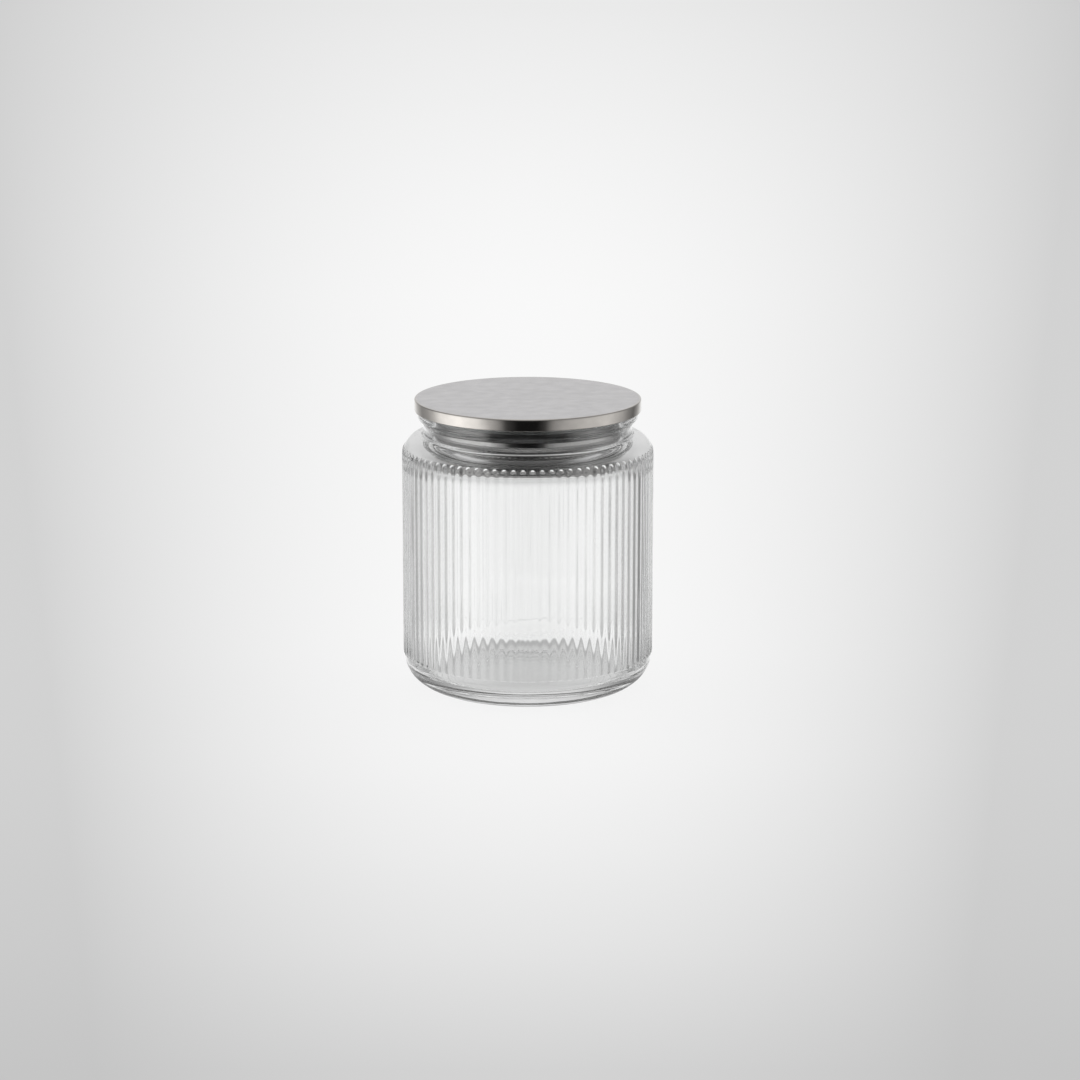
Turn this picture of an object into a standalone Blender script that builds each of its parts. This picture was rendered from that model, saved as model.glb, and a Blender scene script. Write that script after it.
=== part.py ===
"""A ribbed glass storage jar with a lift-off steel lid.

The jar stands on its foot at z = 0, centred on the Z axis. All sizes are in metres.
"""
import math

import bmesh
import bpy
from mathutils import Matrix

# Jar body
BODY_RADIUS = 0.0494
WALL = 0.0024
SHOULDER_Z = 0.1020
SHOULDER_ROUND = 0.0076
SHOULDER_SLOPE = 0.0004
SHOULDER_GLASS = 0.0050
INNER_SHOULDER_SHARE = 0.92
INNER_SHOULDER_RISE = 0.0095

# Ribs on the body
RIB_COUNT = 84
RIB_PROUD = 0.0006
RIB_ROOT = 0.0006
RIB_FILL_SHARE = 0.985
RIB_DOME = 0.0019
RIB_ABOVE_HEEL = 0.0003
RIB_ONTO_SHOULDER = 0.0025

# Heel, floor and foot
HEEL_REACH = 0.0153
HEEL_RISE = 0.0132
FLOOR = 0.0066
FLOOR_CORNER_REACH = 0.0065
FLOOR_CORNER_RISE = 0.0055
FOOT_WIDTH = 0.0035
PUSH_UP = 0.0010

# Neck and mouth
NECK_RADIUS = 0.0413
NECK_WALL = 0.0031
NECK_HEIGHT = 0.0034
NECK_FILLET = 0.0009
NECK_INNER_ROUND = 0.0016
BEAD_PROUD = 0.0022
BEAD_FLARE = 0.0034
BEAD_FLARE_MIDDLE_SHARES = (0.5, 0.35)
BEAD_BAND = 0.0039
RIM_ROUND = 0.0008

# Lid
FIT_GAP = 0.0003
SHEET = 0.0007
CAP_CLEARANCE = 0.00057
CAP_BAND = 0.00467
CAP_EDGE = 0.0005
CAP_LIP_ROUND = 0.0002
PLUG_CLEARANCE = 0.0016
PLUG_DEPTH = 0.0210
PLUG_CORNER = 0.0020
PLUG_FLANGE = 0.0026

# Seal
SEAL_INSET = 0.0015
SEAL_FLANGE = 0.0009
SEAL_SLEEVE = 0.0006
SEAL_LENGTH = 0.0050
FIN_COUNT = 2
FIN_THICKNESS = 0.0007

# How finely the round shapes are cut
LID_STEPS = 60
SEAL_STEPS = 48
RIB_SIDES = 4
MERGE = 0.00001


def arc(centre, reach, rise, start, end, steps):
    """Points (radius, z) on an ellipse about centre, from one angle in degrees to the other."""
    points = []
    for step in range(steps + 1):
        angle = math.radians(start + (end - start) * step / steps)
        points.append((centre[0] + reach * math.cos(angle), centre[1] + rise * math.sin(angle)))
    return points


def turned(name, collection, profile, steps, angle=math.tau, closed=False):
    """An object swept round Z from a profile of (radius, z) points that runs down its outer side."""
    edges = [(point, point + 1) for point in range(len(profile) - 1)]
    if closed:
        edges.append((len(profile) - 1, 0))
    mesh = bpy.data.meshes.new(name)
    mesh.from_pydata([(radius, 0, z) for radius, z in profile], edges, [])
    turned_object = bpy.data.objects.new(name, mesh)
    collection.objects.link(turned_object)
    screw = turned_object.modifiers.new("Turn", "SCREW")
    screw.angle = angle
    screw.steps = screw.render_steps = steps
    screw.use_merge_vertices = True
    screw.merge_threshold = MERGE
    return turned_object


def evaluated_mesh(source):
    """The mesh that an object's modifiers give, as data of its own."""
    graph = bpy.context.evaluated_depsgraph_get()
    return bpy.data.meshes.new_from_object(source.evaluated_get(graph))


def smooth(target):
    """Puts an object's modifiers into its mesh and shades it smooth between its sharp edges."""
    target.data = evaluated_mesh(target)
    target.modifiers.clear()
    target.data.shade_smooth()
    target.data.set_sharp_from_angle(angle=math.radians(32))


def material(name, colour, roughness, metallic=0.0, transmission=0.0, ior=1.5):
    finish = bpy.data.materials.new(name)
    finish.use_nodes = True
    shader = finish.node_tree.nodes["Principled BSDF"]
    shader.inputs["Base Color"].default_value = (*colour, 1)
    shader.inputs["Roughness"].default_value = roughness
    shader.inputs["Metallic"].default_value = metallic
    shader.inputs["Transmission Weight"].default_value = transmission
    shader.inputs["IOR"].default_value = ior
    return finish


def bead_base():
    """The height where the neck begins to flare into the mouth bead."""
    return SHOULDER_Z + SHOULDER_SLOPE + NECK_HEIGHT


def rim():
    """The height of the jar's flat mouth."""
    return bead_base() + BEAD_FLARE + BEAD_BAND


def shoulder_start():
    """The height where the straight body ends and the shoulder's round begins."""
    return SHOULDER_Z - SHOULDER_ROUND


def bore():
    """The radius of the neck's inside."""
    return NECK_RADIUS - NECK_WALL


def mouth_bead():
    """The radius of the bead round the mouth."""
    return NECK_RADIUS + BEAD_PROUD


def jar_inside():
    """The jar's inner outline, from the middle of its floor up to the mouth."""
    inner = BODY_RADIUS - WALL
    ceiling = SHOULDER_Z - SHOULDER_GLASS
    reach = (inner - bore() - NECK_INNER_ROUND) * INNER_SHOULDER_SHARE
    shoulder = (inner - reach, ceiling - INNER_SHOULDER_RISE)
    corner = (inner - FLOOR_CORNER_REACH, FLOOR + FLOOR_CORNER_RISE)
    fillet = (bore() + NECK_INNER_ROUND, ceiling + NECK_INNER_ROUND)
    edge = (bore() + RIM_ROUND, rim() - RIM_ROUND)
    outline = [(0, FLOOR)]
    outline += arc(corner, FLOOR_CORNER_REACH, FLOOR_CORNER_RISE, -90, 0, 4)
    outline += arc(shoulder, reach, INNER_SHOULDER_RISE, 0, 90, 4)
    outline += arc(fillet, NECK_INNER_ROUND, NECK_INNER_ROUND, 270, 180, 2)
    outline += arc(edge, RIM_ROUND, RIM_ROUND, 180, 90, 1)
    return outline


def jar_outside():
    """The jar's outer outline, from the mouth down to the middle of its underside."""
    bead = mouth_bead()
    turn = BODY_RADIUS - SHOULDER_ROUND
    heel = (BODY_RADIUS - HEEL_REACH, HEEL_RISE)
    foot = heel[0] - FOOT_WIDTH
    neck_foot = SHOULDER_Z + SHOULDER_SLOPE
    fillet = (NECK_RADIUS + NECK_FILLET, neck_foot + NECK_FILLET)
    outline = arc((bead - RIM_ROUND, rim() - RIM_ROUND), RIM_ROUND, RIM_ROUND, 90, 0, 2)
    reach_share, rise_share = BEAD_FLARE_MIDDLE_SHARES
    outline += [(bead, bead_base() + BEAD_FLARE)]
    outline += [(NECK_RADIUS + BEAD_PROUD * reach_share, bead_base() + BEAD_FLARE * rise_share)]
    outline += [(NECK_RADIUS, bead_base())]
    outline += arc(fillet, NECK_FILLET, NECK_FILLET, 180, 225, 1)
    outline += arc((turn, shoulder_start()), SHOULDER_ROUND, SHOULDER_ROUND, 90, 0, 4)
    outline += arc(heel, HEEL_REACH, HEEL_RISE, 0, -90, 6)
    outline += arc((0, 0), foot, PUSH_UP, 0, 90, 3)
    return outline


def rib_bar(collection):
    """One rib: a half-round bar with domed ends, whose crest faces +Y and whose flat back is open."""
    pitch = math.tau * (BODY_RADIUS - RIB_ROOT) / RIB_COUNT
    half_width = pitch * RIB_FILL_SHARE / 2
    top = shoulder_start() + RIB_ONTO_SHOULDER
    bottom = HEEL_RISE + RIB_ABOVE_HEEL
    profile = arc((0, top - RIB_DOME), half_width, RIB_DOME, 90, 0, 2)
    profile += arc((0, bottom + RIB_DOME), half_width, RIB_DOME, 0, -90, 2)
    bar = turned("rib_bar", collection, profile, RIB_SIDES, math.pi)
    bar.data = evaluated_mesh(bar)
    bar.modifiers.clear()
    deepen = Matrix.Scale((RIB_PROUD + RIB_ROOT) / half_width, 4, (0, 1, 0))
    bar.data.transform(deepen)
    return bar


def rib_ring(collection):
    """All the ribs, each standing on the middle of one flat of the turned body."""
    bar = rib_bar(collection)
    ribs = bmesh.new()
    for rib in range(RIB_COUNT):
        turn = Matrix.Rotation(math.tau * (rib + 0.5) / RIB_COUNT, 4, "Z")
        place = turn @ Matrix.Translation((0, BODY_RADIUS - RIB_ROOT, 0))
        copy = bar.data.copy()
        copy.transform(place)
        ribs.from_mesh(copy)
        bpy.data.meshes.remove(copy)
    bpy.data.objects.remove(bar)
    bmesh.ops.holes_fill(ribs, edges=ribs.edges, sides=0)
    bmesh.ops.recalc_face_normals(ribs, faces=ribs.faces)
    mesh = bpy.data.meshes.new("rib_ring")
    ribs.to_mesh(mesh)
    ribs.free()
    ring = bpy.data.objects.new("rib_ring", mesh)
    collection.objects.link(ring)
    ring.hide_render = True
    ring.display_type = "WIRE"
    return ring


def make_jar(jar_collection, guide_collection):
    """The glass jar: one turned shell, joined with its ribs."""
    jar = turned("glass_jar", jar_collection, jar_inside() + jar_outside(), RIB_COUNT)
    join = jar.modifiers.new("Ribs", "BOOLEAN")
    join.operation = "UNION"
    join.solver = "EXACT"
    join.object = rib_ring(guide_collection)
    smooth(jar)
    jar.data.materials.append(material("clear_glass", (0.93, 0.97, 0.95), 0.02, transmission=1))


def seal_top():
    """The height of the seal's upper face above the mouth."""
    return FIT_GAP + SEAL_FLANGE


def flange_top():
    """The height of the plug flange's upper face above the mouth."""
    return seal_top() + FIT_GAP + SHEET


def cap_outline():
    """The cap's section, its heights measured from the mouth."""
    under = flange_top() + FIT_GAP
    top = under + SHEET
    lip = top - CAP_BAND
    inner = mouth_bead() + CAP_CLEARANCE
    outer = inner + SHEET
    edge = (outer - CAP_EDGE, top - CAP_EDGE)
    lip_edge = (outer - CAP_LIP_ROUND, lip + CAP_LIP_ROUND)
    outline = [(0, top)]
    outline += arc(edge, CAP_EDGE, CAP_EDGE, 90, 0, 3)
    outline += arc(lip_edge, CAP_LIP_ROUND, CAP_LIP_ROUND, 0, -90, 1)
    outline += [(inner, lip), (inner, under), (0, under)]
    return outline


def plug_radius():
    """The outer radius of the plug, which clears the neck's inside."""
    return bore() - PLUG_CLEARANCE


def plug_outline():
    """The plug's section: a cup that opens upwards, with a flange under the cap."""
    outer = plug_radius()
    flange = outer + PLUG_FLANGE
    top = flange_top()
    bottom = top - PLUG_DEPTH
    inner_corner = PLUG_CORNER - SHEET
    centre = (outer - PLUG_CORNER, bottom + PLUG_CORNER)
    outline = [(0, bottom + SHEET)]
    outline += arc(centre, inner_corner, inner_corner, -90, 0, 2)
    outline += [(outer - SHEET, top), (flange, top)]
    outline += [(flange, top - SHEET), (outer, top - SHEET)]
    outline += arc(centre, PLUG_CORNER, PLUG_CORNER, 0, -90, 3)
    outline += [(0, bottom)]
    return outline


def seal_outline():
    """The seal's section: a flange on the mouth, a sleeve round the plug and fins to the glass."""
    inner = plug_radius() + FIT_GAP
    sleeve = inner + SEAL_SLEEVE
    reach = bore() - FIT_GAP
    top = seal_top()
    bottom = top - SEAL_LENGTH
    edge = mouth_bead() - SEAL_INSET
    fin_pitch = (SEAL_LENGTH - SEAL_FLANGE - RIM_ROUND) / FIN_COUNT
    outline = [(inner, top), (edge, top), (edge, top - SEAL_FLANGE)]
    outline += [(sleeve, top - SEAL_FLANGE)]
    for fin in range(FIN_COUNT):
        tip = bottom + fin_pitch * (FIN_COUNT - fin) - fin_pitch / 2
        root = tip - FIN_THICKNESS
        outline += [(sleeve, tip), (reach, tip), (reach, tip - FIN_THICKNESS / 2), (sleeve, root)]
    outline += [(sleeve, bottom), (inner, bottom)]
    return outline


def make_lid(jar_collection):
    """The lid's three pieces, hung on an empty on the jar's axis at the mouth."""
    lift = bpy.data.objects.new("lid_lift", None)
    lift.location.z = rim()
    jar_collection.objects.link(lift)
    brushed = material("brushed_steel", (0.60, 0.59, 0.58), 0.32, metallic=1)
    drawn = material("drawn_steel", (0.62, 0.62, 0.62), 0.12, metallic=1)
    silicone = material("clear_silicone", (0.90, 0.92, 0.92), 0.35, transmission=0.8, ior=1.41)
    cap = turned("lid_cap", jar_collection, cap_outline(), LID_STEPS)
    plug = turned("lid_plug", jar_collection, plug_outline(), LID_STEPS)
    seal = turned("seal_ring", jar_collection, seal_outline(), SEAL_STEPS, closed=True)
    for piece, finish in ((cap, brushed), (plug, drawn), (seal, silicone)):
        smooth(piece)
        piece.parent = lift
        piece.data.materials.append(finish)


def main():
    for old in list(bpy.data.objects):
        bpy.data.objects.remove(old)
    jar_collection = bpy.data.collections.new("glass_storage_jar")
    guide_collection = bpy.data.collections.new("guides")
    bpy.context.scene.collection.children.link(jar_collection)
    bpy.context.scene.collection.children.link(guide_collection)
    guide_collection.hide_render = True
    make_jar(jar_collection, guide_collection)
    make_lid(jar_collection)


main()
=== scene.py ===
"""The ribbed glass storage jar with its steel lid, dressed for a soft white studio. Metres."""
import math

import bpy
import numpy as np
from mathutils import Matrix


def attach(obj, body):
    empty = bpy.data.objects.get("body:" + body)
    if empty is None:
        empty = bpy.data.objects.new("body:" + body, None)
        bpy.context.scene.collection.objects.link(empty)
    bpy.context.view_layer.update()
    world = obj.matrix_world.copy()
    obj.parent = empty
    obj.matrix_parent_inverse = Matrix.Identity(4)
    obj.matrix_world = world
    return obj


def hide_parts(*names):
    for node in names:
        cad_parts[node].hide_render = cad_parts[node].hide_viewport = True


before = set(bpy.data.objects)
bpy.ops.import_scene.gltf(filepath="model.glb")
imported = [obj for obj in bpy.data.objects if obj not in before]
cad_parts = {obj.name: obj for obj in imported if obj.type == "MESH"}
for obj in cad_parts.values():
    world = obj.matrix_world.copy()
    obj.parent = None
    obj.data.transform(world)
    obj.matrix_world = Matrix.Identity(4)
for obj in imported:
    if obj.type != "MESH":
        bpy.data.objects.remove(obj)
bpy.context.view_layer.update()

# Jar
BODY = 0.0494
WALL = 0.0024
SHOULDER_Z = 0.1020
SHOULDER_ROUND = 0.0076
SHOULDER_SLOPE = 0.0004
SHOULDER_GLASS = 0.0050
INNER_SHOULDER_SHARE = 0.92
INNER_SHOULDER_RISE = 0.0095
HEEL_REACH = 0.0153
HEEL_RISE = 0.0132
FLOOR = 0.0066
FLOOR_CORNER_REACH = 0.0065
FLOOR_CORNER_RISE = 0.0055
FOOT_WIDTH = 0.0035
PUSH_UP = 0.0010
NECK = 0.0413
NECK_WALL = 0.0031
NECK_HEIGHT = 0.0034
NECK_FILLET = 0.0006
NECK_INNER_ROUND = 0.0016
BEAD_PROUD = 0.0022
BEAD_FLARE = 0.0034
BEAD_BAND = 0.0039
RIM_ROUND = 0.0008

# Where the neck's fillet ends and the shoulder's round starts, in degrees; the slope lies between
FILLET_END = 250
SHOULDER_TOP = 88

# Ribs: the crests stand out by a share of the full height, and each by a little more or less
RIBS = 84
RIB_PROUD = 0.00044
RIB_CREST_SHARE = 0.92
RIB_UNEVEN_SHARE = 0.09
RIB_SEED = 5
RIB_DOME = 0.0018
RIB_FOOT = 0.0006
RIB_ABOVE_HEEL = 0.0003
RIB_ONTO_SHOULDER = 0.0030

# The slow waviness of pressed glass: how far each skin sways, where the inner one starts to, and
# the waves that it is made of: how many, how often each goes round, and how it turns with height
INNER_SWAY = 0.00006
INNER_SWAY_SEED = 3
SWAY_OFF_BORE = 0.0020
SWAY_BELOW_CEILING = 0.0010
OUTER_SWAY = 0.00003
OUTER_SWAY_SEED = 11
SWAY_WAVES = 7
SWAY_LOBES = (2, 12)
SWAY_RISE = (40, 240)

# Lid and seal
FIT_GAP = 0.0003
SHEET = 0.0007
CAP_CLEARANCE = 0.00057
CAP_BAND = 0.00467
CAP_EDGE = 0.0005
CAP_LIP_ROUND = 0.0002
PLUG_CLEARANCE = 0.0016
PLUG_DEPTH = 0.0210
PLUG_CORNER = 0.0020
PLUG_FLANGE = 0.0026
SEAL_INSET = 0.0015
SEAL_FLANGE = 0.0009
SEAL_SLEEVE = 0.0006
SEAL_LENGTH = 0.0050
FINS = 2
FIN = 0.0007

BEAD_BASE = SHOULDER_Z + SHOULDER_SLOPE + NECK_HEIGHT
RIM = BEAD_BASE + BEAD_FLARE + BEAD_BAND
SHOULDER_START = SHOULDER_Z - SHOULDER_ROUND
BORE = NECK - NECK_WALL
BEAD = NECK + BEAD_PROUD
RIB_TOP = SHOULDER_START + RIB_ONTO_SHOULDER
RIB_BOTTOM = HEEL_RISE + RIB_ABOVE_HEEL

# How finely the meshes are cut: columns round the axis, rings up the walls and over flat faces,
# and the gaps that those rings keep from the curves beside them
RIB_COLUMNS = RIBS * 16
PLAIN_COLUMNS = RIBS * 4
LID_COLUMNS = 288
SEAL_COLUMNS = 240
INNER_WALL_RINGS = 16
INNER_WALL_GAP = 0.0030
RIB_RINGS = 12
RIB_RING_GAP = 0.0020
RIB_TOP_GAP = 0.0001
DOME_RINGS = 12
FLARE_STEPS = 12
FLOOR_RADII = (0, 0.008, 0.018, 0.030)
CAP_RADII = (0, 0.012, 0.024, 0.036, 0.042)
LEAST_STEP = 0.00002
SHARP_DEGREES = 40

# The noise in the materials lies mostly between these two levels
NOISE_SPREAD = (0.3, 0.7)

# The brushed disc gives way to the turned band between these two radii
DISC_END = (0.0437, 0.0445)

# The studio floor: a painted pool of light about the jar, wider at the back than at the front. Its ends
# are places along Y, and its depth goes from the front end at 0 to the back end at 1
FLOOR_HALF = 7.0
FLOOR_DROP = 0.0001
POOL_ENDS = (-0.60, 3.40)
POOL_WIDTHS = (0.090, 0.735)
POOL_FALL = 0.66
POOL_LEAST = 0.3
POOL_DEPTH = [(0.02, 0.25), (0.046, 0.29), (0.072, 0.60), (0.097, 0.79), (0.123, 0.93),
              (0.16, 1.0), (0.39, 0.99), (0.51, 0.93), (0.70, 0.83), (1.0, 0.72)]
FLOOR_GAIN = 0.45
FLOOR_BASE = 0.55
FLOOR_GLOW = 0.90

# Painted shade on the floor under and close about the jar, as the glass and the steel show it: radii
# and tones
UNDER_SHADE_TONE = 0.62
UNDER_SHADE_END = (0.036, 0.044)
SHADE_TONE = 0.44
SHADE_END = (0.046, 0.054)
NEAR_END = (0.055, 0.075)

# The room's light by compass bearing, 0 at the camera, as (degrees, tone), at three heights
UNDER_WALLS = [(-180, 0.90), (-150, 0.55), (-130, 0.35), (-110, 0.60), (-85, 0.90), (-65, 0.25),
               (-50, 0.01), (50, 0.01), (70, 0.15), (90, 0.55), (120, 0.30), (150, 0.55),
               (180, 0.90)]
LOW_WALLS = [(-180, 0.98), (-163, 0.94), (-149, 0.58), (-136, 0.33), (-123, 0.42), (-110, 0.70),
             (-98, 1.25), (-76, 1.54), (-52, 1.20), (-40, 0.65), (-30, 0.35), (-22, 0.06),
             (-10, 0.01), (10, 0.01), (18, 0.06), (26, 0.35), (36, 0.53), (60, 0.72), (88, 0.84),
             (108, 0.60), (122, 0.30), (136, 0.16), (149, 0.45), (163, 0.90), (180, 0.98)]
HIGH_WALLS = [(-180, 0.76), (-160, 0.66), (-146, 0.38), (-134, 0.22), (-114, 0.22), (-100, 0.60),
              (-82, 0.60), (-60, 0.45), (-45, 0.02), (45, 0.02), (60, 0.20), (82, 0.50),
              (100, 0.50), (114, 0.22), (134, 0.22), (146, 0.38), (160, 0.66), (180, 0.76)]
NADIR = 0.50
ZENITH = 0.80

# Where one height of the room gives way to the next, in degrees above the horizon
NADIR_TO_UNDER = (-62, -50)
UNDER_TO_LOW = (-30, -20)
LOW_TO_HIGH = (-8, 1)
HIGH_TO_ZENITH = (60, 80)

# The least light in the upper room for what mirrors it directly, and how soon it is reached
UPPER_FILL = 0.30
UPPER_FILL_RISE = 0.1

# The most light that shows through the glass
THROUGH_LIMIT = 1.0

# The photo's view: metres, degrees, and millimetres for the lens and the sensor
CAMERA_DISTANCE = 1.380
CAMERA_LIFT = 13.311
CAMERA_AIM = 0.058539
LENS = 115.49
SENSOR = 36
SHIFT_X = 0.0113


def arc(centre, reach, rise, start, end, steps):
    """Points (radius, z) on an ellipse about centre, from one angle in degrees to the other."""
    angles = np.radians(np.linspace(start, end, steps + 1))
    return [(centre[0] + reach * math.cos(a), centre[1] + rise * math.sin(a)) for a in angles]


def round_arc(centre, radius, start, end, steps):
    return arc(centre, radius, radius, start, end, steps)


def spaced(profile):
    """The profile without points that fall on the one before."""
    kept = [profile[0]]
    for point in profile[1:]:
        if math.dist(point, kept[-1]) > LEAST_STEP:
            kept.append(point)
    return kept


def ring(radius, z, columns):
    """One ring of points; radius may be a number or one value a column."""
    turn = np.linspace(0, math.tau, columns, endpoint=False)
    reach = np.broadcast_to(np.asarray(radius, float), turn.shape)
    height = np.broadcast_to(np.asarray(z, float), turn.shape)
    return np.stack([reach * np.cos(turn), reach * np.sin(turn), height], axis=1)


def turned_rings(profile, columns):
    """A ring for each point of the profile; a point on the axis becomes a pole."""
    return [ring(radius, z, 1 if radius == 0 else columns) for radius, z in spaced(profile)]


def sew(first, low, second, high):
    """Faces between two rings that start at indices first and second, of low and high points."""
    if low == high:
        return [(first + i, second + i, second + (i + 1) % high, first + (i + 1) % low)
                for i in range(low)]
    if low == 1:
        return [(first, second + i, second + (i + 1) % high) for i in range(high)]
    if high == 1:
        return [(first + (i + 1) % low, first + i, second) for i in range(low)]
    if low > high:
        return [tuple(reversed(face)) for face in sew(second, high, first, low)]
    faces = []
    ratio = high // low
    half = ratio // 2
    for i in range(low):
        here, after = first + i, first + (i + 1) % low
        fine = [second + (i * ratio + k) % high for k in range(ratio + 1)]
        faces += [(here, fine[k], fine[k + 1]) for k in range(half)]
        faces += [(here, fine[half], after)]
        faces += [(after, fine[k], fine[k + 1]) for k in range(half, ratio)]
    return faces


def skin(name, rings, closed=False):
    """A mesh object over rings of points; a ring of one point is a pole."""
    starts = [int(start) for start in np.cumsum([0] + [len(points) for points in rings])]
    pairs = list(zip(range(len(rings) - 1), range(1, len(rings))))
    if closed:
        pairs.append((len(rings) - 1, 0))
    faces = []
    for here, there in pairs:
        faces += sew(starts[here], len(rings[here]), starts[there], len(rings[there]))
    mesh = bpy.data.meshes.new(name)
    mesh.from_pydata(np.concatenate(rings).tolist(), [], faces)
    mesh.validate()
    mesh.shade_smooth()
    mesh.set_sharp_from_angle(angle=math.radians(SHARP_DEGREES))
    made = bpy.data.objects.new(name, mesh)
    bpy.context.scene.collection.objects.link(made)
    return made


def ripple(turn, z, seed):
    """A slow, seamless waviness between about -1 and 1, as pressed glass has."""
    rng = np.random.default_rng(seed)
    wave = np.zeros(np.broadcast(turn, z).shape)
    for _ in range(SWAY_WAVES):
        lobes = rng.integers(*SWAY_LOBES)
        rise = rng.uniform(*SWAY_RISE)
        wave += np.sin(lobes * turn + rise * z + rng.uniform(0, math.tau)) / SWAY_WAVES ** 0.5
    return wave


def rounded_end(z, end, length, least):
    """How full a rib is near its end: 1 away from it, falling to least in a quarter ellipse."""
    inward = max((z - end) / length + 1, 0)
    return math.sqrt(max(1 - inward ** 2, least))


def rib_height(turn, z):
    """How far the ribs stand out: rounded crests, domed at the top and blunt at the foot."""
    pitch = math.tau / RIBS
    across = ((turn / pitch) % 1.0) * 2 - 1
    narrow = rounded_end(z, RIB_TOP, RIB_DOME, least=1e-6)
    low = rounded_end(-z, -RIB_BOTTOM, RIB_FOOT, least=0)
    away = np.minimum(np.abs(across) / narrow, 1)
    which = np.floor(turn / pitch).astype(int)
    rng = np.random.default_rng(RIB_SEED)
    uneven = 1 + rng.uniform(-RIB_UNEVEN_SHARE, RIB_UNEVEN_SHARE, RIBS)[which % RIBS]
    crest = RIB_PROUD * RIB_CREST_SHARE * uneven
    return crest * narrow * low * (0.5 + 0.5 * np.cos(np.pi * away))


def inside_rings():
    """The glass's inner skin from the middle of the floor up to the mouth."""
    inner = BODY - WALL
    ceiling = SHOULDER_Z - SHOULDER_GLASS
    reach = (inner - BORE - NECK_INNER_ROUND) * INNER_SHOULDER_SHARE
    corner = (inner - FLOOR_CORNER_REACH, FLOOR + FLOOR_CORNER_RISE)
    shoulder = (inner - reach, ceiling - INNER_SHOULDER_RISE)
    fillet = (BORE + NECK_INNER_ROUND, ceiling + NECK_INNER_ROUND)
    heights = np.linspace(corner[1] + INNER_WALL_GAP, shoulder[1] - INNER_WALL_GAP, INNER_WALL_RINGS)
    profile = [(radius, FLOOR) for radius in FLOOR_RADII]
    profile += arc(corner, FLOOR_CORNER_REACH, FLOOR_CORNER_RISE, -90, 0, steps=16)
    profile += [(inner, z) for z in heights]
    profile += arc(shoulder, reach, INNER_SHOULDER_RISE, 0, 90, steps=16)
    profile += round_arc(fillet, NECK_INNER_ROUND, 270, 180, steps=8)
    profile += round_arc((BORE + RIM_ROUND, RIM - RIM_ROUND), RIM_ROUND, 180, 90, steps=5)
    turn = np.linspace(0, math.tau, PLAIN_COLUMNS, endpoint=False)
    rings = []
    for radius, z in spaced(profile):
        if radius == 0:
            rings.append(ring(0, z, 1))
            continue
        sways = radius > BORE + SWAY_OFF_BORE and z < ceiling - SWAY_BELOW_CEILING
        sway = INNER_SWAY if sways else 0
        rings.append(ring(radius + sway * ripple(turn, z, INNER_SWAY_SEED), z, PLAIN_COLUMNS))
    return rings


def neck_profile(shoulder):
    """The outer skin from the mouth over the bead and the neck to where the ribs start."""
    profile = round_arc((BEAD - RIM_ROUND, RIM - RIM_ROUND), RIM_ROUND, 90, 0, steps=6)
    for step in range(FLARE_STEPS + 1):
        share = step / FLARE_STEPS
        wave = 0.5 - 0.5 * math.cos(math.pi * share)
        profile.append((BEAD - BEAD_PROUD * wave, BEAD_BASE + BEAD_FLARE * (1 - share)))
    fillet = (NECK + NECK_FILLET, SHOULDER_Z + SHOULDER_SLOPE + NECK_FILLET)
    profile += round_arc(fillet, NECK_FILLET, 180, FILLET_END, steps=6)
    above = math.degrees(math.asin((RIB_ONTO_SHOULDER + RIB_TOP_GAP) / SHOULDER_ROUND))
    profile += round_arc(shoulder, SHOULDER_ROUND, SHOULDER_TOP, above, steps=16)
    return profile


def ribbed_rings(shoulder):
    """The outer skin over the ribs, with rings close together at their rounded ends."""
    dome = 1 - np.sin(np.linspace(math.pi / 2, 0, DOME_RINGS))
    upper = RIB_TOP - RIB_DOME - RIB_RING_GAP
    lower = RIB_BOTTOM + RIB_FOOT + RIB_RING_GAP
    heights = list(RIB_TOP - RIB_DOME * dome)
    heights += list(np.linspace(upper, lower, RIB_RINGS))
    heights += list(RIB_BOTTOM + RIB_FOOT * dome[::-1])
    turn = np.linspace(0, math.tau, RIB_COLUMNS, endpoint=False)
    rings = []
    for z in heights:
        over = z - SHOULDER_START
        base = BODY
        if over > 0:
            base = shoulder[0] + math.sqrt(SHOULDER_ROUND ** 2 - over ** 2)
        sway = OUTER_SWAY * ripple(turn, z, OUTER_SWAY_SEED)
        rings.append(ring(base + sway + rib_height(turn, z), z, RIB_COLUMNS))
    return rings


def foot_profile():
    """The outer skin round the heel, over the foot ring and up into the push-up."""
    heel = (BODY - HEEL_REACH, HEEL_RISE)
    foot = heel[0] - FOOT_WIDTH
    profile = arc(heel, HEEL_REACH, HEEL_RISE, 0, -90, steps=26)
    profile += [(foot + FOOT_WIDTH / 2, 0)]
    profile += arc((0, 0), foot, PUSH_UP, 0, 90, steps=12)[:-1] + [(0, PUSH_UP)]
    return profile


def outside_rings():
    """The glass's outer skin from the mouth down to the middle of the underside."""
    shoulder = (BODY - SHOULDER_ROUND, SHOULDER_START)
    neck = turned_rings(neck_profile(shoulder), PLAIN_COLUMNS)
    return neck + ribbed_rings(shoulder) + turned_rings(foot_profile(), PLAIN_COLUMNS)


def make_nodes(name):
    finish = bpy.data.materials.new(name)
    finish.use_nodes = True
    tree = finish.node_tree
    return finish, tree, tree.nodes["Principled BSDF"]


def calc(tree, operation, *values, clamp=False):
    """A Math node's output; each value is a number or another node's output."""
    node = tree.nodes.new("ShaderNodeMath")
    node.operation = operation
    node.use_clamp = clamp
    for socket, value in zip(node.inputs, values):
        if isinstance(value, (int, float)):
            socket.default_value = value
        else:
            tree.links.new(value, socket)
    return node.outputs[0]


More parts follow.
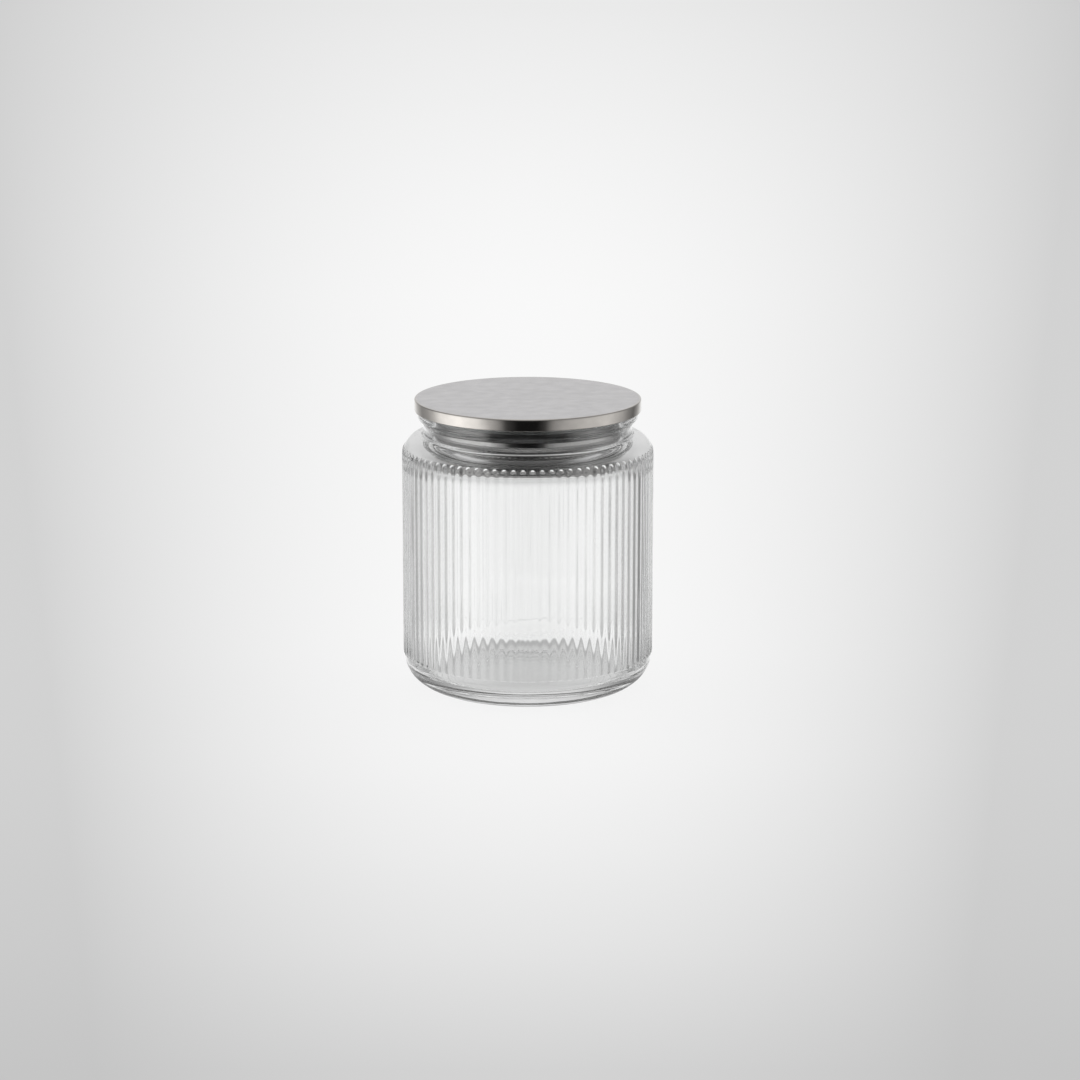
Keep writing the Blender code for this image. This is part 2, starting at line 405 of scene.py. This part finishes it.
def shared(tree, share, first, second):
    """A share of the first value and the rest of the second; the share may be a number."""
    rest = 1 - share if isinstance(share, float) else calc(tree, "SUBTRACT", 1.0, share)
    return calc(tree, "ADD", calc(tree, "MULTIPLY", first, share), calc(tree, "MULTIPLY", second, rest))


def ranged(tree, value, ends, results, smooth=False):
    """A Map Range node's output: from the first result to the second between two ends."""
    node = tree.nodes.new("ShaderNodeMapRange")
    node.interpolation_type = "SMOOTHSTEP" if smooth else "LINEAR"
    tree.links.new(value, node.inputs["Value"])
    for socket, number in zip(("From Min", "From Max", "To Min", "To Max"), (*ends, *results)):
        node.inputs[socket].default_value = number
    return node.outputs[0]


def ramp(tree, value, stops):
    """A Color Ramp node's output; a stop is (place from 0 to 1, grey or colour)."""
    node = tree.nodes.new("ShaderNodeValToRGB")
    tree.links.new(value, node.inputs[0])
    elements = node.color_ramp.elements
    while len(elements) < len(stops):
        elements.new(0.5)
    for element, (place, tone) in zip(elements, stops):
        element.position = place
        element.color = (*tone, 1) if isinstance(tone, tuple) else (tone, tone, tone, 1)
    return node.outputs["Color"]


def mixed_tone(tree, share, lower, upper):
    """Between two tones; each is a number or a node's output."""
    mix = tree.nodes.new("ShaderNodeMix")
    mix.data_type = "RGBA"
    tree.links.new(share, mix.inputs["Factor"])
    for socket, tone in (("A", lower), ("B", upper)):
        if isinstance(tone, float):
            mix.inputs[socket].default_value = (tone, tone, tone, 1)
        else:
            tree.links.new(tone, mix.inputs[socket])
    return mix.outputs["Result"]


def mixed_shader(tree, share, first, second):
    """The Mix Shader node between two shader nodes; a share of 1 is the second."""
    mix = tree.nodes.new("ShaderNodeMixShader")
    tree.links.new(share, mix.inputs["Fac"])
    tree.links.new(first.outputs[0], mix.inputs[1])
    tree.links.new(second.outputs[0], mix.inputs[2])
    return mix


def axes(tree, output="Object"):
    """The x, y and z of the object's own coordinates, or of another output of the same node."""
    place = tree.nodes.new("ShaderNodeTexCoord")
    split = tree.nodes.new("ShaderNodeSeparateXYZ")
    tree.links.new(place.outputs[output], split.inputs[0])
    return split.outputs


def off_axis(tree):
    """The distance from the jar's axis."""
    x, y, _ = axes(tree)
    squares = calc(tree, "ADD", calc(tree, "MULTIPLY", x, x), calc(tree, "MULTIPLY", y, y))
    return calc(tree, "SQRT", squares)


def round_the_axis(tree):
    """A vector of the angle round Z and the height, for marks that run round a turned piece."""
    x, y, z = axes(tree)
    join = tree.nodes.new("ShaderNodeCombineXYZ")
    tree.links.new(calc(tree, "ARCTAN2", y, x), join.inputs["X"])
    tree.links.new(z, join.inputs["Z"])
    return join.outputs[0]


def streaks(tree, per_metre, detail, source=None):
    """Noise with its own fineness along each axis, as grinding or pressing leaves it."""
    source = source or tree.nodes.new("ShaderNodeTexCoord").outputs["Object"]
    mapping = tree.nodes.new("ShaderNodeMapping")
    mapping.inputs["Scale"].default_value = per_metre
    tree.links.new(source, mapping.inputs["Vector"])
    noise = tree.nodes.new("ShaderNodeTexNoise")
    noise.inputs["Scale"].default_value = 1.0
    noise.inputs["Detail"].default_value = detail
    tree.links.new(mapping.outputs[0], noise.inputs["Vector"])
    return noise.outputs["Fac"]


def tinted(tree, noise, dark, light):
    """Between two colours by the level of the noise."""
    low, high = NOISE_SPREAD
    return ramp(tree, noise, [(low, dark), (high, light)])


def bump(tree, shader, height, distance, strength):
    node = tree.nodes.new("ShaderNodeBump")
    node.inputs["Distance"].default_value = distance
    node.inputs["Strength"].default_value = strength
    tree.links.new(height, node.inputs["Height"])
    tree.links.new(node.outputs[0], shader.inputs["Normal"])


def glass_material():
    """Clear glass with slow pressed waves and faint specks."""
    finish, tree, shader = make_nodes("clear_glass_fine")
    shader.inputs["Base Color"].default_value = (0.993, 0.996, 0.994, 1)
    shader.inputs["Transmission Weight"].default_value = 1
    shader.inputs["IOR"].default_value = 1.5
    waves = streaks(tree, (90, 90, 45), detail=2)
    bump(tree, shader, waves, distance=0.0001, strength=0.4)
    specks = streaks(tree, (260, 260, 160), detail=2)
    tree.links.new(ranged(tree, specks, (0.45, 0.75), (0.0, 0.02)), shader.inputs["Roughness"])
    return finish


def brushed_material():
    """Steel with a clouded disc, brushed along X, and a smoother, warmer band turned round Z."""
    finish, tree, shader = make_nodes("brushed_steel_fine")
    shader.inputs["Metallic"].default_value = 1
    straight = streaks(tree, (120, 5200, 5200), detail=4)
    turned = streaks(tree, (3, 1, 9000), detail=3, source=round_the_axis(tree))
    lines = shared(tree, 0.5, straight, turned)
    cloud = streaks(tree, (170, 200, 260), detail=4)
    tone = shared(tree, 0.25, lines, cloud)
    disc = tinted(tree, tone, dark=(0.545, 0.532, 0.539), light=(0.675, 0.661, 0.668))
    band = tinted(tree, tone, dark=(0.570, 0.543, 0.511), light=(0.670, 0.638, 0.600))
    disc_rough = ranged(tree, lines, NOISE_SPREAD, (0.20, 0.27))
    band_rough = ranged(tree, lines, NOISE_SPREAD, (0.09, 0.13))
    edge = ranged(tree, off_axis(tree), DISC_END, (0.0, 1.0))
    tree.links.new(mixed_tone(tree, edge, disc, band), shader.inputs["Base Color"])
    tree.links.new(shared(tree, edge, band_rough, disc_rough), shader.inputs["Roughness"])
    bump(tree, shader, lines, distance=0.00001, strength=0.35)
    return finish


def drawn_material():
    """Bright sheet steel with fine marks round the axis, as drawing a cup leaves them; its colour is
    darker than the cap's steel, as painted shade for the cup deep in the neck.
    """
    finish, tree, shader = make_nodes("drawn_steel_fine")
    shader.inputs["Metallic"].default_value = 1
    lines = streaks(tree, (2, 1, 5000), detail=3, source=round_the_axis(tree))
    cloud = streaks(tree, (80, 80, 200), detail=2)
    # The steel's own colour, darkened below the cap's steel as painted shade for the cup deep in the
    # neck
    colour = tinted(tree, cloud, dark=(0.42, 0.414, 0.408), light=(0.48, 0.474, 0.468))
    tree.links.new(colour, shader.inputs["Base Color"])
    tree.links.new(ranged(tree, lines, NOISE_SPREAD, (0.015, 0.04)), shader.inputs["Roughness"])
    bump(tree, shader, lines, distance=0.00001, strength=0.3)
    return finish


def silicone_material():
    """Clear silicone, a little milky and unevenly dull."""
    finish, tree, shader = make_nodes("clear_silicone_fine")
    shader.inputs["Transmission Weight"].default_value = 0.9
    shader.inputs["IOR"].default_value = 1.41
    cloud = streaks(tree, (300, 300, 300), detail=3)
    colour = tinted(tree, cloud, dark=(0.88, 0.90, 0.89), light=(0.93, 0.95, 0.94))
    tree.links.new(colour, shader.inputs["Base Color"])
    tree.links.new(ranged(tree, cloud, NOISE_SPREAD, (0.12, 0.20)), shader.inputs["Roughness"])
    bump(tree, shader, cloud, distance=0.000005, strength=0.3)
    return finish


def place(piece, body, finish, slot, node):
    piece.data.materials.append(finish)
    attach(piece, body)
    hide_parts(node)


def make_jar():
    jar = skin("ribbed_glass", inside_rings() + outside_rings())
    place(jar, "jar", glass_material(), "clear_glass", "glass_jar")


def make_cap(under):
    """The brushed disc with its band turned down round the mouth; under is its underside's height."""
    top = under + SHEET
    lip = top - CAP_BAND
    inner = BEAD + CAP_CLEARANCE
    outer = inner + SHEET
    profile = [(radius, top) for radius in CAP_RADII]
    profile += round_arc((outer - CAP_EDGE, top - CAP_EDGE), CAP_EDGE, 90, 0, steps=8)
    profile += round_arc((outer - CAP_LIP_ROUND, lip + CAP_LIP_ROUND), CAP_LIP_ROUND, 0, -90, steps=4)
    profile += [(inner, lip), (inner, under), (0, under)]
    cap = skin("steel_cap", turned_rings(profile, LID_COLUMNS))
    place(cap, "lid", brushed_material(), "brushed_steel", "lid_cap")


def make_plug(flange_top):
    """The drawn cup under the cap, with a flange round its rim."""
    radius = BORE - PLUG_CLEARANCE
    bottom = flange_top - PLUG_DEPTH
    corner = (radius - PLUG_CORNER, bottom + PLUG_CORNER)
    flange = radius + PLUG_FLANGE
    profile = [(0, bottom + SHEET)]
    profile += round_arc(corner, PLUG_CORNER - SHEET, -90, 0, steps=8)
    profile += [(radius - SHEET, flange_top), (flange, flange_top)]
    profile += [(flange, flange_top - SHEET), (radius, flange_top - SHEET)]
    profile += round_arc(corner, PLUG_CORNER, 0, -90, steps=10)
    profile += [(0, bottom)]
    plug = skin("steel_plug", turned_rings(profile, LID_COLUMNS))
    place(plug, "lid", drawn_material(), "drawn_steel", "lid_plug")


def make_seal(top):
    """The silicone ring round the plug: a flange over the mouth, a sleeve and its fins."""
    inner = BORE - PLUG_CLEARANCE + FIT_GAP
    sleeve = inner + SEAL_SLEEVE
    reach = BORE - FIT_GAP
    flange = BEAD - SEAL_INSET
    bottom = top - SEAL_LENGTH
    pitch = (SEAL_LENGTH - SEAL_FLANGE - RIM_ROUND) / FINS
    profile = [(inner, top), (flange, top), (flange, top - SEAL_FLANGE), (sleeve, top - SEAL_FLANGE)]
    for fin in range(FINS):
        tip = bottom + pitch * (FINS - fin) - pitch / 2
        profile += [(sleeve, tip), (reach, tip), (reach, tip - FIN / 2), (sleeve, tip - FIN)]
    profile += [(sleeve, bottom), (inner, bottom)]
    seal = skin("silicone_ring", turned_rings(profile, SEAL_COLUMNS), closed=True)
    place(seal, "lid", silicone_material(), "clear_silicone", "seal_ring")


def make_lid():
    """The cap, the plug under it and the seal, stacked on the mouth with a gap between each two."""
    seal_top = RIM + FIT_GAP + SEAL_FLANGE
    flange_top = seal_top + FIT_GAP + SHEET
    make_cap(flange_top + FIT_GAP)
    make_plug(flange_top)
    make_seal(seal_top)


def painted_pool_of_light(tree):
    """The painted pool of light: how bright the floor is painted, most about the jar, less ahead,
    behind and to both sides.
    """
    x, y, _ = axes(tree)
    across = calc(tree, "DIVIDE", x, ranged(tree, y, POOL_ENDS, POOL_WIDTHS))
    drop = calc(tree, "MULTIPLY", calc(tree, "MULTIPLY", across, across), -POOL_FALL)
    side = calc(tree, "MAXIMUM", calc(tree, "ADD", drop, 1.0), POOL_LEAST)
    along = ramp(tree, ranged(tree, y, POOL_ENDS, (0.0, 1.0)), POOL_DEPTH)
    return calc(tree, "MULTIPLY", side, along)


def floor_material():
    """Pale and matt with a painted pool of light, glowing where it is seen; bent rays see painted shade
    on it, and see it only near the jar.
    """
    finish, tree, shader = make_nodes("studio_floor")
    out = off_axis(tree)
    rays = tree.nodes.new("ShaderNodeLightPath").outputs
    bent = calc(tree, "ADD", rays["Is Glossy Ray"], rays["Is Transmission Ray"], clamp=True)
    bent = calc(tree, "MULTIPLY", bent, calc(tree, "SUBTRACT", 1.0, rays["Is Camera Ray"]))
    # Painted shade for bent rays: the floor is darker under the jar and darkest in a ring about its
    # foot, a painted contact shadow
    under = ranged(tree, out, SHADE_END, (SHADE_TONE, 1.0), smooth=True)
    inner = ranged(tree, out, UNDER_SHADE_END, (UNDER_SHADE_TONE, SHADE_TONE), smooth=True)
    shade = calc(tree, "SUBTRACT", 1.0, calc(tree, "MAXIMUM", under, inner))
    lit = calc(tree, "SUBTRACT", 1.0, calc(tree, "MULTIPLY", bent, shade))
    # The floor's tone: the painted pool of light over a base level
    tone = calc(tree, "ADD", calc(tree, "MULTIPLY", painted_pool_of_light(tree), FLOOR_GAIN), FLOOR_BASE)
    tone = calc(tree, "MULTIPLY", tone, lit)
    grey = tree.nodes.new("ShaderNodeCombineXYZ")
    for socket in grey.inputs:
        tree.links.new(tone, socket)
    tree.links.new(grey.outputs[0], shader.inputs["Base Color"])
    shader.inputs["Roughness"].default_value = 1
    shader.inputs["Specular IOR Level"].default_value = 0
    glow = tree.nodes.new("ShaderNodeEmission")
    tree.links.new(grey.outputs[0], glow.inputs["Color"])
    seen = calc(tree, "ADD", rays["Is Camera Ray"], rays["Is Glossy Ray"])
    seen = calc(tree, "ADD", seen, rays["Is Transmission Ray"], clamp=True)
    solid = mixed_shader(tree, calc(tree, "MULTIPLY", seen, FLOOR_GLOW), shader, glow)
    far = calc(tree, "MULTIPLY", bent, ranged(tree, out, NEAR_END, (0.0, 1.0), smooth=True))
    clear = tree.nodes.new("ShaderNodeBsdfTransparent")
    surface = mixed_shader(tree, far, solid, clear)
    tree.links.new(surface.outputs[0], tree.nodes["Material Output"].inputs["Surface"])
    return finish


def make_floor():
    """A wide pale floor, just below the foot."""
    mesh = bpy.data.meshes.new("studio_floor")
    corners = [(-FLOOR_HALF, -FLOOR_HALF, 0), (FLOOR_HALF, -FLOOR_HALF, 0),
               (FLOOR_HALF, FLOOR_HALF, 0), (-FLOOR_HALF, FLOOR_HALF, 0)]
    mesh.from_pydata(corners, [], [(0, 1, 2, 3)])
    mesh.materials.append(floor_material())
    floor = bpy.data.objects.new("studio_floor", mesh)
    floor.location.z = -FLOOR_DROP
    bpy.context.scene.collection.objects.link(floor)


def walls(tree, bearing, stops):
    """The room's light by bearing at one height."""
    return ramp(tree, bearing, [((turn + 180) / 360, tone) for turn, tone in stops])


def blend(tree, height, ends, lower, upper):
    """Goes from the lower tone to the upper one between two elevations in degrees."""
    sines = [math.sin(math.radians(degrees)) for degrees in ends]
    return mixed_tone(tree, ranged(tree, height, sines, (0, 1), smooth=True), lower, upper)


def make_studio():
    """A soft white room with a bright left side, a dark front and a grey strip behind each shoulder."""
    world = bpy.data.worlds.new("soft_studio")
    bpy.context.scene.world = world
    world.use_nodes = True
    tree = world.node_tree
    x, y, z = axes(tree, "Generated")

    # Rays that only pass through glass see the back of the room on both sides of it
    rays = tree.nodes.new("ShaderNodeLightPath").outputs
    through = rays["Is Transmission Ray"]
    clear = calc(tree, "MULTIPLY", through, calc(tree, "LESS_THAN", rays["Glossy Depth"], 0.5))
    fold = calc(tree, "SUBTRACT", calc(tree, "ABSOLUTE", y), y)
    y = calc(tree, "ADD", y, calc(tree, "MULTIPLY", clear, fold))

    angle = calc(tree, "ARCTAN2", x, calc(tree, "MULTIPLY", y, -1))
    bearing = ranged(tree, angle, (-math.pi, math.pi), (0, 1))
    room = blend(tree, z, NADIR_TO_UNDER, NADIR, walls(tree, bearing, UNDER_WALLS))
    room = blend(tree, z, UNDER_TO_LOW, room, walls(tree, bearing, LOW_WALLS))
    room = blend(tree, z, LOW_TO_HIGH, room, walls(tree, bearing, HIGH_WALLS))
    room = blend(tree, z, HIGH_TO_ZENITH, room, ZENITH)

    fill = ranged(tree, z, (0, UPPER_FILL_RISE), (0, UPPER_FILL))
    mirrored = calc(tree, "MAXIMUM", room, fill)
    room = mixed_tone(tree, through, mirrored, calc(tree, "MINIMUM", room, THROUGH_LIMIT))
    tree.links.new(room, tree.nodes["Background"].inputs["Color"])


def make_camera():
    """The photo's view: from the front and a little above, through a long lens."""
    lift = math.radians(CAMERA_LIFT)
    data = bpy.data.cameras.new("camera")
    camera = bpy.data.objects.new("camera", data)
    bpy.context.scene.collection.objects.link(camera)
    back = CAMERA_DISTANCE * math.cos(lift)
    camera.location = (0, -back, CAMERA_AIM + CAMERA_DISTANCE * math.sin(lift))
    camera.rotation_euler = (math.radians(90) - lift, 0, 0)
    data.sensor_width = SENSOR
    data.lens = LENS
    data.shift_x = SHIFT_X
    data.clip_start = 0.01
    bpy.context.scene.camera = camera


def light_bounces():
    """Light turns back many times inside the thick glass base."""
    cycles = bpy.context.scene.cycles
    cycles.max_bounces = 40
    cycles.glossy_bounces = 24
    cycles.transmission_bounces = 40
    cycles.transparent_max_bounces = 24


make_jar()
make_lid()
make_floor()
make_studio()
make_camera()
bpy.context.scene.view_settings.view_transform = "Standard"
light_bounces()
